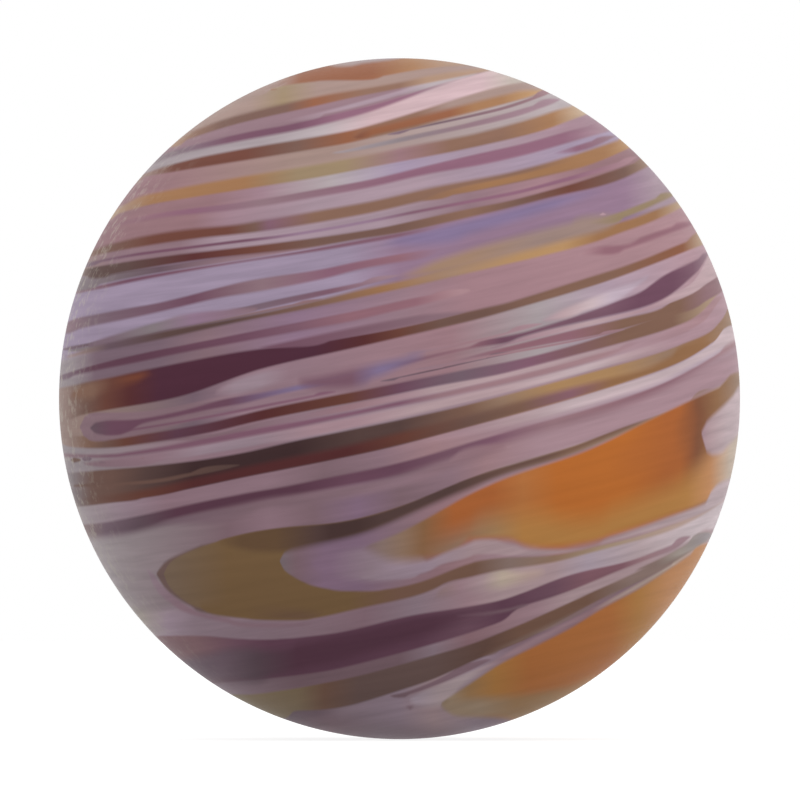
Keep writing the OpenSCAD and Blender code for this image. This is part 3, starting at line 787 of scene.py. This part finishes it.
def streak(soft_above, soft_below, edges, colours):
    """A streak as layers_group reads it. A soft edge is centred where it is drawn. The softer of two
    unlike edges would outgrow a thin streak, so there both stay further in. Past each end the edges
    cross over, so that nothing is left of the streak."""
    rows = []
    for across, upper, lower in settled(edges):
        grown = min(1, (upper - lower) / max(soft_above, soft_below)) if soft_above != soft_below else 1
        rows.append((across, upper + grown * soft_above / 2, lower - grown * soft_below / 2))
    for end, way in ((0, -1), (-1, 1)):
        across, upper, lower = rows[end]
        middle = (upper + lower) / 2
        past = (across + way * (1 + (upper - lower) / 2), middle - 0.5, middle + 0.5)
        rows.insert(0, past) if end == 0 else rows.append(past)
    stations = [(across, upper / soft_above, -lower / soft_below, 1) for across, upper, lower in rows]
    return soft_above, soft_below, stations, colours


def field(soft, edge, colours):
    """A field as layers_group reads it, with its upper edge out of reach."""
    top = FIELD_TOP / FIELD_TOP_SOFT
    stations = [(across, top, 0.5 - height / soft, 1) for across, height in edge]
    return FIELD_TOP_SOFT, soft, stations, colours


def speck(across, height, wide, high_by, name):
    """A speck as layers_group reads it: a small lens of one colour."""
    lens = [(across - wide, height, height), (across, height + high_by, height - high_by),
            (across + wide, height, height)]
    return streak(SPECK_SOFT, SPECK_SOFT, lens, [(across, name)])


def layers_group(layers):
    """Lays glasses over each other, each between its two edges. Each reads the place across from the
    one before it, so that they are worked out one by one and few values are held at a time."""
    group = bpy.data.node_groups.new("layers", "ShaderNodeTree")
    for name, way, kind in (("Across", "INPUT", "Vector"), ("Height", "INPUT", "Vector"),
                            ("Under", "INPUT", "Color"), ("Across", "OUTPUT", "Vector"),
                            ("Colour", "OUTPUT", "Color")):
        group.interface.new_socket(name, in_out=way, socket_type="NodeSocket" + kind)
    tree = Tree(group)
    given = group.nodes.new("NodeGroupInput").outputs
    across, colour = given["Across"], given["Under"]
    for soft_above, soft_below, stations, colours in layers:
        edges = tree.edges(across, stations)
        inside = tree.vector_math("MULTIPLY_ADD", given["Height"],
                                  (-100 / soft_above, 100 / soft_below, 0), edges)
        steps = tree.smooth_steps(inside, WAIT, WAIT + 1)
        mask = tree.vector_math("DOT_PRODUCT", steps, (1, 1, -(2 * WAIT + 1) / (WAIT + 1)))
        glass = tree.ramp(tree.vector_math("DOT_PRODUCT", across, (1, 0, 0)), colours)
        colour = tree.lay(mask, colour, glass)
        across = tree.vector_math("MINIMUM", across, steps)
    output = group.nodes.new("NodeGroupOutput")
    tree.fill(output.inputs["Across"], across)
    tree.fill(output.inputs["Colour"], colour)
    return group


def swirl(tree, across, height):
    """The colour of the swirl at a place across and a height."""
    across = tree.math("MULTIPLY_ADD", across, 0.5, 0.5)
    colour = tree.ramp(across, GROUND)
    across = tree.add("ShaderNodeCombineXYZ", X=across, Y=across, Z=across)
    height = tree.add("ShaderNodeCombineXYZ", X=height, Y=height, Z=height)
    layers = [field(*row) for row in FIELDS]
    layers += [streak(*row) for row in STREAKS]
    layers += [speck(*row) for row in SPECKS]
    for start in range(0, len(layers), LAYERS_A_GROUP):
        group = layers_group(layers[start:start + LAYERS_A_GROUP])
        laid = tree.add("ShaderNodeGroup", settings=[("node_tree", group)],
                        Across=across, Height=height, Under=colour)
        across, colour = laid.node.outputs["Across"], laid.node.outputs["Colour"]
    return colour


def swirled_glass():
    material = bpy.data.materials.new("swirled_glass")
    material.use_nodes = True
    tree = Tree(material.node_tree)
    surface = tree.nodes["Principled BSDF"].inputs
    place = tree.vector_math("SCALE", tree.add("ShaderNodeTexCoord", "Object"), 1 / R)
    depth = tree.split(place)["Y"]

    # The swirl runs straight through the ball, and wanders more the further back it goes
    wander = tree.noise(place, WANDER_SCALE, detail=1.0, output="Color")
    wander = tree.vector_math("SUBTRACT", wander, (0.5, 0.5, 0.5))
    wander = tree.vector_math("SCALE", wander, tree.smooth(depth, *WANDER_DEPTHS, to=WANDER))
    place_in_swirl = tree.split(tree.vector_math("ADD", place, wander))
    across, height = place_in_swirl["X"], place_in_swirl["Z"]

    # Fine waver along the pulled glass
    slope = tree.math("MULTIPLY_ADD", across, THREAD_BEND, THREAD_SLOPE)
    flow = tree.math("SUBTRACT", height, tree.math("MULTIPLY", across, slope))
    thread = tree.add("ShaderNodeCombineXYZ", X=tree.math("MULTIPLY", across, WAVER_ACROSS),
                      Y=tree.math("MULTIPLY", flow, WAVER_UP), Z=tree.math("MULTIPLY", depth, WAVER_DEEP))
    waver = tree.noise(thread, scale=1.0, detail=4.0)
    height = tree.math("ADD", height, tree.math("MULTIPLY_ADD", waver, WAVER, -WAVER / 2))
    colour = swirl(tree, across, height)

    # Threads of slightly lighter and darker glass, strongest in the lilac
    blue = tree.add("ShaderNodeSeparateColor", "Blue", Color=colour)
    contrast = tree.math("MULTIPLY_ADD", blue, CONTRAST_BY_BLUE, CONTRAST)
    tone = tree.math("MULTIPLY_ADD", tree.math("SUBTRACT", waver, 0.5), contrast, 1.0)
    colour = tree.vector_math("SCALE", colour, tone)

    # Frosted scuffs and painted rim haze, a painted reflection of the white surroundings, at the left rim
    rim = tree.smooth(tree.split(place)["X"], *HAZE_AND_SCUFFS_ACROSS, to=HAZE_AND_SCUFFS)
    rim = tree.math("MULTIPLY", rim, tree.smooth(depth, *HAZE_AND_SCUFFS_FROM_FRONT))
    rim = tree.math("MULTIPLY", rim, tree.smooth(depth, *HAZE_AND_SCUFFS_FROM_BEHIND))
    speckle = tree.noise(place, HAZE_AND_SCUFFS_SCALE, detail=3.0, roughness=HAZE_AND_SCUFFS_ROUGHNESS)
    hazed_and_scuffed = tree.math("MULTIPLY", tree.smooth(speckle, *HAZE_AND_SCUFFS_LET_THROUGH), rim)
    tree.fill(surface["Base Color"], tree.lay(hazed_and_scuffed, colour, linear("khaki_white")))

    grain = tree.noise(place, GRAIN_SCALE, detail=4.0)
    tree.fill(surface["Roughness"], tree.math("MULTIPLY_ADD", grain, SATIN_BY_GRAIN, SATIN))
    tree.fill(surface["Normal"], tree.add("ShaderNodeBump", Strength=GRAIN_STRENGTH,
                                          Distance=R * GRAIN_DEPTH, Height=grain))
    tree.fill(surface["Specular IOR Level"], MIRRORED)
    return material


def ball_mesh(steps):
    """A cube blown up to a ball of radius 1: even quads and no seam."""
    index = {}
    points = []
    quads = []

    def corner(point):
        key = tuple(round(c * steps) for c in point)
        if key not in index:
            index[key] = len(points)
            points.append(Vector([math.tan(c * math.pi / 4) for c in point]).normalized())
        return index[key]

    ticks = [2 * i / steps - 1 for i in range(steps + 1)]
    for axis in range(3):
        for side in (-1, 1):
            for i in range(steps):
                for j in range(steps):
                    ring = []
                    for di, dj in ((0, 0), (1, 0), (1, 1), (0, 1)):
                        point = [0, 0, 0]
                        point[axis] = side
                        point[(axis + 1) % 3] = ticks[i + di]
                        point[(axis + 2) % 3] = ticks[j + dj]
                        ring.append(corner(point))
                    quads.append(ring if side > 0 else ring[::-1])
    return points, quads


def place_object(name, data, place):
    thing = bpy.data.objects.new(name, data)
    bpy.context.scene.collection.objects.link(thing)
    thing.location = place
    return thing


def worn_ball():
    """The ball in its satin glass, with the nick and the pits sunk into it."""
    pits = [NICK]
    for _ in range(PIT_COUNT):
        direction = Vector([random.gauss(0, 1) for _ in range(3)]).normalized()
        pits.append((direction, random.uniform(*PIT_RADII), random.uniform(*PIT_DEPTHS)))
    points, quads = ball_mesh(BALL_STEPS)
    directions = np.array([tuple(point) for point in points])
    sunk = np.zeros(len(points))
    for direction, radius, deep in pits:
        gap = np.linalg.norm(directions - np.array(direction), axis=1)
        sunk = np.maximum(sunk, deep * np.clip(1 - (gap / radius) ** 2, 0, 1) ** 2)
    surface_points = directions * (R * (1 - sunk))[:, None]
    mesh = bpy.data.meshes.new("glass_ball")
    mesh.from_pydata([tuple(point) for point in surface_points], [], quads)
    for polygon in mesh.polygons:
        polygon.use_smooth = True
    mesh.materials.append(swirled_glass())
    return place_object("glass_ball", mesh, CENTRE)


def studio_light():
    world = bpy.data.worlds.new("studio")
    bpy.context.scene.world = world
    world.use_nodes = True
    tree = Tree(world.node_tree)
    upward = tree.split(tree.add("ShaderNodeTexCoord", "Generated"))["Z"]
    sky = tree.add("ShaderNodeMapRange", Value=upward, To_Min=HORIZON, To_Max=OVERHEAD)
    background = tree.nodes["Background"].inputs
    tree.fill(background["Color"], WHITE)
    tree.fill(background["Strength"],
              tree.add("ShaderNodeMapRange", Value=tree.is_seen(), To_Min=sky, To_Max=1.0))


def white_paper():
    paper = bpy.data.materials.new("paper")
    paper.use_nodes = True
    tree = Tree(paper.node_tree)
    surface = tree.nodes["Principled BSDF"].inputs
    tree.fill(surface["Base Color"], (PAPER, PAPER, PAPER, 1))
    tree.fill(surface["Roughness"], 1.0)
    tree.fill(surface["Specular IOR Level"], 0.0)
    tree.fill(surface["Emission Color"], WHITE)
    tree.fill(surface["Emission Strength"],
              tree.add("ShaderNodeMapRange", Value=tree.is_seen(), To_Min=PAPER_GLOW, To_Max=PAPER_SEEN))
    return paper


def paper_floor():
    reach = PAPER_REACH * R
    mesh = bpy.data.meshes.new("floor")
    mesh.from_pydata([(-reach, -reach, 0), (reach, -reach, 0), (reach, reach, 0), (-reach, reach, 0)], [],
                     [(0, 1, 2, 3)])
    mesh.materials.append(white_paper())
    return place_object("floor", mesh, CENTRE - Vector((0, 0, R)))


def photo_camera():
    """A camera that sees the ball as large and in the same place as the photograph shows it."""
    seen_radius = R * DISTANCE / math.sqrt(DISTANCE ** 2 - R ** 2)
    frame_width = seen_radius * PHOTO_WIDTH / BALL_RADIUS_PX
    lens = bpy.data.cameras.new("camera")
    lens.sensor_width = SENSOR
    lens.lens = SENSOR * DISTANCE / frame_width
    lens.shift_x = (PHOTO_WIDTH / 2 - BALL_CENTRE_PX[0]) / PHOTO_WIDTH
    lens.shift_y = (BALL_CENTRE_PX[1] - PHOTO_WIDTH / 2) / PHOTO_WIDTH
    lens.clip_start = NEAREST_SEEN
    camera = place_object("camera", lens, CENTRE + Vector((0, -DISTANCE, 0)))
    camera.rotation_euler = (math.radians(90), 0, 0)
    return camera


glass_ball = worn_ball()
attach(glass_ball, "root")
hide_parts("marble")

floor = paper_floor()

studio_light()
bpy.context.scene.camera = photo_camera()
bpy.context.scene.view_settings.view_transform = "Standard"
